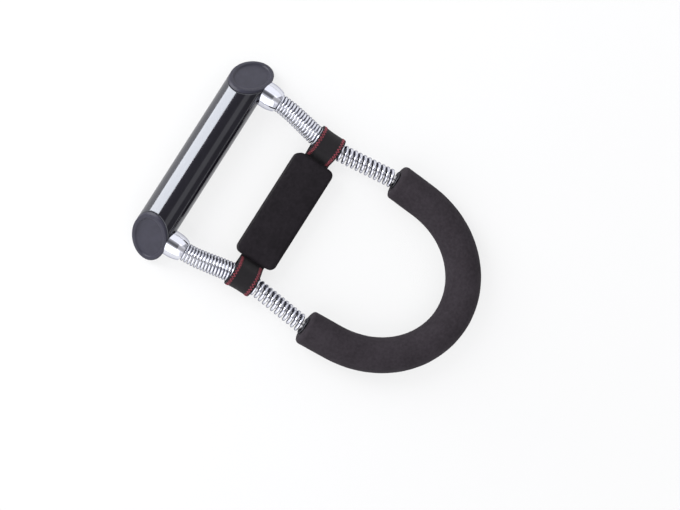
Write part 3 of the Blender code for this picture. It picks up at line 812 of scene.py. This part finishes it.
# The sling is webbing looped round both arms, with red stitches, and the foam pad on it.
strap = {
    "width": 0.019,
    "thickness": 0.0013,
    "height": 0.0085,
    "tip": 0.0435,                 # half the distance between the places where the plies part
    "loopRadius": 0.00795,         # inside, round the springs and the coupler
    "loopSteps": 60,
    "step": 0.0006,
    "easings": 3,                  # how often the path's sharp corners are averaged
    "acrossSteps": 20,
    "flatMargin": 0.0004,          # between the flat of the webbing and its edge
    "edgeInset": 0.0001,           # a point between the two, this far in from the edge
    "edgeShare": 0.62,             # and at this share of the half thickness
    "wander": 0.00012,             # unevenness of the outer lines
    "wanderMargin": 0.001,
    "wanderInside": 0.3,           # share of it between those lines
    "wanderScale": (90, 60),       # along and across
}


def strapPath():
    # the middle of the webbing in X and Z: one closed line through the pad and round both arms
    ply = strap["thickness"]
    radius = strap["loopRadius"] + ply / 2
    centre = Vector((armAt(1, slingLength).x, arms["height"]))
    low = Vector((strap["tip"], strap["height"] - ply / 2))
    high = Vector((strap["tip"], strap["height"] + ply / 2))

    def touching(point, side):
        towards = centre - point
        angle = math.atan2(towards.y, towards.x) + side * math.asin(radius / towards.length)
        reach = math.sqrt(towards.length_squared - radius ** 2)
        return point + Vector((math.cos(angle), math.sin(angle))) * reach

    lowTouch, highTouch = touching(low, -1), touching(high, 1)
    begin = math.atan2(*(lowTouch - centre).yx)
    sweep = (math.atan2(*(highTouch - centre).yx) - begin) % (2 * math.pi)
    right = [Vector((0, low.y)), low]
    for i in range(strap["loopSteps"] + 1):
        angle = begin + sweep * i / strap["loopSteps"]
        right.append(centre + Vector((math.cos(angle), math.sin(angle))) * radius)
    right += [high, Vector((0, high.y))]
    left = [Vector((-p.x, p.y)) for p in reversed(right)]
    return right + left[1:-1]


def evenSteps(points, step):
    # the same closed line in even steps, its sharp corners eased
    closed = points + points[:1]
    xs = np.array([p.x for p in closed])
    zs = np.array([p.y for p in closed])
    lengths = np.concatenate(([0], np.cumsum(np.hypot(np.diff(xs), np.diff(zs)))))
    count = round(lengths[-1] / step)
    along = np.arange(count) * lengths[-1] / count
    x, z = np.interp(along, lengths, xs), np.interp(along, lengths, zs)
    for _ in range(strap["easings"]):
        x = (np.roll(x, 1) + 2 * x + np.roll(x, -1)) / 4
        z = (np.roll(z, 1) + 2 * z + np.roll(z, -1)) / 4
    return x, z, along, lengths[-1]


strapX, strapZ, strapAlong, strapLength = evenSteps(strapPath(), strap["step"])
tangents = np.stack([np.roll(strapX, -1) - np.roll(strapX, 1),
                     np.roll(strapZ, -1) - np.roll(strapZ, 1)], 1)
tangents /= np.linalg.norm(tangents, axis=1)[:, None]
strapOut = np.stack([tangents[:, 1], -tangents[:, 0]], 1)   # away from the inside of the loops


def onStrap(i, across, lift):
    # a point over row i of the webbing, this far across it and above its middle
    x = strapX[i] + strapOut[i, 0] * lift
    z = strapZ[i] + strapOut[i, 1] * lift
    middle = armAt(1, slingLength).x
    shift = armAt(1, armLengthAtY(across)).x - middle
    weight = min(1, max(0, (abs(x) - strap["tip"]) / (middle - strap["tip"])))
    return Vector((x + math.copysign(shift * weight, x), across, z))


def strapSection():
    # round the webbing's section: (across, lift, across on the cloth)
    half, thick = strap["width"] / 2, strap["thickness"] / 2
    flat, inset = half - strap["flatMargin"], half - strap["edgeInset"]
    steps, low = strap["acrossSteps"], thick * strap["edgeShare"]
    section = []
    for face in (1, -1):
        for i in range(steps + 1):
            share = face * (2 * i - steps) / steps
            section.append((share * flat, face * thick, share * half))
        for place, lift in ((inset, low), (half, 0), (inset, -low)):
            section.append((face * place, face * lift, face * half))
    return section


def makeStrap():
    section = strapSection()
    rows, ring = len(strapX), len(section)
    scaleAlong, scaleAcross = strap["wanderScale"]
    line = strap["width"] / 2 - strap["wanderMargin"]
    mesh = bmesh.new()
    uvLayer = mesh.loops.layers.uv.new("strap")
    grid = []
    for i in range(rows):
        row = []
        for across, lift, _ in section:
            at = Vector((strapX[i] * scaleAlong, across * scaleAcross, strapZ[i] * scaleAlong))
            share = 1 if abs(across) > line else strap["wanderInside"]
            wander = strap["wander"] * noise.noise(at) * share
            row.append(mesh.verts.new(onStrap(i, across + math.copysign(wander, across), lift)))
        grid.append(row)
    for i in range(rows):
        for k in range(ring):
            j, m = (i + 1) % rows, (k + 1) % ring
            face = mesh.faces.new((grid[i][k], grid[i][m], grid[j][m], grid[j][k]))
            face.smooth = True
            here, there = strapAlong[i], strapAlong[i + 1] if j else strapLength
            for loop, along, place in zip(face.loops, (here, here, there, there), (k, m, m, k)):
                loop[uvLayer].uv = (along, section[place][2])
    data = bpy.data.meshes.new("slingStrap")
    mesh.to_mesh(data)
    mesh.free()
    dress(addMesh(data), strapMaterial, "strap_fabric", "sling", "sling_strap")


stitch = {
    "fromEdge": 0.0020,            # middle of a row of zigzags
    "amplitude": 0.0013,
    "length": 0.00105,             # of one stitch along the strap
    "thread": 0.00062,
    "flatness": 0.8,
    "overlap": 1.12,               # of a stitch's length over the way between its holes
    "dip": 0.45,                   # of its ends into the cloth, in thread widths
    "proud": 0.00012,
    "beforeLoop": 0.0008,          # how far a row begins before the plies part
}


def modelStitch():
    # one stitch, a flattened strand of length one: its corners and faces
    deselectAll()
    bpy.ops.mesh.primitive_uv_sphere_add(segments=8, ring_count=7, radius=0.5)
    single = nameLast("singleStitch")
    startEditing(single, everything=True)
    bpy.ops.transform.resize(value=(stitch["thread"], stitch["thread"] * stitch["flatness"], 1),
                             center_override=(0, 0, 0))
    stopEditing()
    corners = [vert.co.copy() for vert in single.data.vertices]
    faces = [tuple(face.vertices) for face in single.data.polygons]
    bpy.data.objects.remove(single, do_unlink=True)
    return corners, faces


def loopRuns():
    # the webbing's rows in the loops, as unbroken runs
    runs = []
    for i, x in enumerate(strapX):
        if abs(x) > strap["tip"] - stitch["beforeLoop"]:
            if runs and i == runs[-1][-1] + 1:
                runs[-1].append(i)
            else:
                runs.append([i])
    return runs


def needleHoles(run, middle):
    # the corners of one zigzag along a loop, each with the direction out of the cloth
    count = round((len(run) - 1) * strap["step"] / stitch["length"])
    holes = []
    for n in range(count + 1):
        place = n / count * (len(run) - 1)
        low = int(min(place, len(run) - 2))
        across = middle + stitch["amplitude"] * (1 if n % 2 else -1)
        a = onStrap(run[low], across, strap["thickness"] / 2)
        b = onStrap(run[low + 1], across, strap["thickness"] / 2)
        out = Vector((strapOut[run[low], 0], 0, strapOut[run[low], 1]))
        holes.append((a.lerp(b, place - low), out))
    return holes


def makeStitches():
    # one stitch is modelled, then copied along both edges of each loop
    corners, faces = modelStitch()
    verts, polygons = [], []
    for run in loopRuns():
        for edge in (-1, 1):
            holes = needleHoles(run, edge * (strap["width"] / 2 - stitch["fromEdge"]))
            for (start, outA), (end, outB) in zip(holes, holes[1:]):
                along = end - start
                out = (outA + outB).normalized()
                across = along.cross(out).normalized()
                out = across.cross(along).normalized()
                centre = (start + end) / 2 + out * stitch["proud"]
                first = len(verts)
                for corner in corners:
                    dip = stitch["thread"] * stitch["dip"] * (2 * corner.z) ** 2
                    verts.append(centre + along * corner.z * stitch["overlap"]
                                 + across * corner.x + out * (corner.y - dip))
                polygons += [tuple(first + k for k in face) for face in faces]
    data = bpy.data.meshes.new("strapStitching")
    data.from_pydata(verts, [], polygons)
    data.shade_smooth()
    dress(addMesh(data), threadMaterial, "strap_fabric", "sling")


pad = {
    "length": 0.084,
    "width": 0.032,
    "thickness": 0.017,
    "cornerRadius": 0.005,
    "cornerSteps": 10,
    "edgeRadius": 0.0038,
    "edgeSteps": 8,
    "crown": 0.0012,
    "drawnIn": 0.0008,
    "voxel": 0.0006,
    "smoothing": 5,
    "unevenness": 0.00014,
    "unevennessScales": (110, 300),
    "shrink": 0.7,                 # unevennesses by which the skin is drawn in all over
    "slotGap": 0.0004,
    "slotEdge": 0.0008,
    "slotMargins": (0.0010, 0.0012),   # round the webbing, where the foam is left even
}


def makePad():
    half = Vector((pad["length"], pad["width"], pad["thickness"])) / 2
    piece = addBox("wristPad", half * 2)
    startEditing(piece)
    # the upright edges, then those round the top and the underside
    selectEdges(piece, lambda edge: abs(edge.verts[0].co.z - edge.verts[1].co.z) > half.z)
    bpy.ops.mesh.bevel(offset=pad["cornerRadius"], segments=pad["cornerSteps"], affect="EDGES")
    bpy.ops.mesh.select_all(action="DESELECT")
    selectEdges(piece, lambda edge: abs(edge.verts[0].co.z + edge.verts[1].co.z) > half.z * 1.9)
    bpy.ops.mesh.bevel(offset=pad["edgeRadius"], segments=pad["edgeSteps"], affect="EDGES")
    stopEditing()

    slot = addBox("strapSlot", (half.x * 4, strap["width"] + 2 * pad["slotGap"],
                                2 * (strap["thickness"] + pad["slotGap"])))
    roundEdges(slot, pad["slotEdge"])
    combine(piece, slot, "DIFFERENCE")
    addModifier(piece, "REMESH", mode="VOXEL", voxel_size=pad["voxel"], use_smooth_shade=True)
    addModifier(piece, "SMOOTH", factor=0.5, iterations=pad["smoothing"])
    evenY = strap["width"] / 2 + pad["slotMargins"][0]
    evenZ = strap["thickness"] + pad["slotMargins"][1]
    coarse, fine = pad["unevennessScales"]
    for vert in piece.data.vertices:
        u, v, w = (vert.co[k] / half[k] for k in range(3))
        if abs(vert.co.y) >= evenY or abs(vert.co.z) >= evenZ:
            bulge = noise.noise(vert.co * coarse) + 0.5 * noise.noise(vert.co * fine)
            aboveTable = min(1, max(0, w + 1) * 2)        # the underside stays flat
            vert.co -= vert.normal * pad["unevenness"] * (pad["shrink"] - bulge) * aboveTable
        vert.co.z += half.z + pad["crown"] * (1 - u * u) * (1 - v * v) * max(0, w)
        vert.co.x -= pad["drawnIn"] * (1 - w * w) * u
        vert.co.y -= pad["drawnIn"] * (1 - w * w) * v
    piece.data.update()
    smoothShade(piece, 80)
    dress(piece, padMaterial, "pad_foam", "sling", "wrist_pad")


makeGripTube()
for side, sign in sides.items():
    makeEndCap(side, sign)
    makeSpringCup(side, sign)
    makeSprings(side, sign)
makeBow()
makeStrap()
makeStitches()
makePad()

for name in ("grip_core", "cup_screw_left", "cup_screw_right", "coupler_left", "coupler_right"):
    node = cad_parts[name]
    node.data.materials.clear()
    node.data.materials.append(steelMaterial)
print("kept steel nodes dressed")


studio = {
    "floorSize": 6,
    "floorHeight": -0.0002,
    "floorColour": 0.90,
    "floorMottle": 0.01,
    "floorGlass": 0.75,            # share of the white under the floor that shows through it
    "floorFade": (0.25, 0.80),     # distances between which the floor dissolves into that white
    "backdropHeight": 0.07,        # sine of the elevation to which the white goes on behind it
    "overhead": (0.13, 0.13, 0.14),    # a darker strip over the part, from the grip to the bow
    "leftWall": (0.36, 0.36, 0.38),
    "rightWall": (0.70, 0.70, 0.73),
    "lampTarget": (0, -0.01, 0.014),
}


def seenRays(tree, mirroredShare=1):
    # 1 for what the camera sees itself, this share for what it sees mirrored or through glass
    rays = tree.nodes.new("ShaderNodeLightPath")
    mirrored = maths(tree, "MAXIMUM", rays.outputs["Is Glossy Ray"],
                     rays.outputs["Is Transmission Ray"])
    return maths(tree, "MAXIMUM", rays.outputs["Is Camera Ray"],
                 maths(tree, "MULTIPLY", mirrored, mirroredShare))


def makeFloor():
    deselectAll()
    bpy.ops.mesh.primitive_plane_add(size=studio["floorSize"],
                                     location=(0, 0, studio["floorHeight"]))
    floor = nameLast("floor")
    material = bpy.data.materials.new("paleFloor")
    material.use_nodes = True
    tree = material.node_tree
    tree.nodes.clear()
    out = tree.nodes.new("ShaderNodeOutputMaterial")
    mix = tree.nodes.new("ShaderNodeMixShader")
    lit = tree.nodes.new("ShaderNodeBsdfDiffuse")
    glass = tree.nodes.new("ShaderNodeBsdfTransparent")   # a grip that swings down still shows
    level, mottle = studio["floorColour"], studio["floorMottle"]
    tint = addRamp(tree, addNoise(tree, 8), (0.3, (level * (1 - mottle),) * 3),
                   (0.7, (level * (1 + mottle),) * 3))
    tree.links.new(tint, lit.inputs["Color"])
    place = tree.nodes.new("ShaderNodeTexCoord")
    away = tree.nodes.new("ShaderNodeVectorMath")
    away.operation = "LENGTH"
    tree.links.new(place.outputs["Object"], away.inputs[0])
    fade = addRange(tree, away.outputs["Value"], studio["floorGlass"], 1, *studio["floorFade"])
    tree.links.new(maths(tree, "MULTIPLY", seenRays(tree), fade), mix.inputs["Fac"])
    tree.links.new(lit.outputs[0], mix.inputs[1])
    tree.links.new(glass.outputs[0], mix.inputs[2])
    tree.links.new(mix.outputs[0], out.inputs["Surface"])
    floor.data.materials.append(material)


lamps = [
    # name, compass direction, lowest and highest elevation, width (all in degrees), distance,
    # radiance, colour
    ("stripKey", -96, 1, 58, 24, 1.2, 7.0, (0.97, 0.98, 1.0)),
    ("softboxLeft", 176, 7, 66, 60, 1.1, 0.78, (0.96, 0.97, 1.0)),
    ("softboxRight", 4, 7, 66, 60, 1.1, 1.00, (0.96, 0.97, 1.0)),
    ("farFill", 90, 42, 70, 60, 1.2, 0.33, (1.0, 0.98, 0.98)),
]


def makeLamps():
    target = Vector(studio["lampTarget"])
    for name, compass, low, high, width, distance, radiance, colour in lamps:
        deselectAll()
        turn, rise = math.radians(compass), math.radians((low + high) / 2)
        away = Vector((math.cos(turn) * math.cos(rise), math.sin(turn) * math.cos(rise),
                       math.sin(rise)))
        aim = (-away).to_track_quat("-Z", "Y").to_euler()
        bpy.ops.object.light_add(type="AREA", location=target + away * distance, rotation=aim)
        lamp = bpy.context.object
        lamp.name = name
        lamp.data.shape = "RECTANGLE"
        lamp.data.size = 2 * distance * math.tan(math.radians(width / 2))
        lamp.data.size_y = 2 * distance * math.tan(math.radians((high - low) / 2))
        lamp.data.energy = radiance * math.pi * lamp.data.size * lamp.data.size_y
        lamp.data.color = colour


def makeWorld():
    # a dim room lights the part, and a white backdrop stands behind and under it
    world = bpy.data.worlds.new("studio")
    bpy.context.scene.world = world
    world.use_nodes = True
    tree = world.node_tree
    background = tree.nodes["Background"]
    place = tree.nodes.new("ShaderNodeTexCoord")
    parts = tree.nodes.new("ShaderNodeSeparateXYZ")
    tree.links.new(place.outputs["Generated"], parts.inputs["Vector"])
    sideways = addRange(tree, parts.outputs["X"], 0, 1, -1, 1)
    room = addRamp(tree, sideways, (0.33, studio["leftWall"]), (0.435, studio["overhead"]),
                   (0.565, studio["overhead"]), (0.67, studio["rightWall"]))
    tree.links.new(room, background.inputs["Color"])
    white = tree.nodes.new("ShaderNodeBackground")
    white.inputs["Color"].default_value = (1, 1, 1, 1)
    low = maths(tree, "LESS_THAN", parts.outputs["Z"], studio["backdropHeight"])
    mix = tree.nodes.new("ShaderNodeMixShader")
    tree.links.new(seenRays(tree, low), mix.inputs["Fac"])
    tree.links.new(background.outputs[0], mix.inputs[1])
    tree.links.new(white.outputs[0], mix.inputs[2])
    tree.links.new(mix.outputs[0], tree.nodes["World Output"].inputs["Surface"])


camera = {
    "place": (0.0644, -0.1500, 1.1290),
    "turn": (-2.938, -10.163, 122.778),    # degrees
    "lens": 84.7,                  # mm, for the sensor width below
    "sensor": 36,
    "clip": (0.01, 50),
}


def makeCamera():
    deselectAll()
    bpy.ops.object.camera_add(location=camera["place"],
                              rotation=[math.radians(angle) for angle in camera["turn"]])
    made = bpy.context.object
    made.name = "photoCamera"
    made.data.lens = camera["lens"]
    made.data.sensor_width = camera["sensor"]
    made.data.clip_start, made.data.clip_end = camera["clip"]
    bpy.context.scene.camera = made


makeFloor()
makeLamps()
makeWorld()
makeCamera()
bpy.context.scene.view_settings.view_transform = "Standard"
print("studio ready")
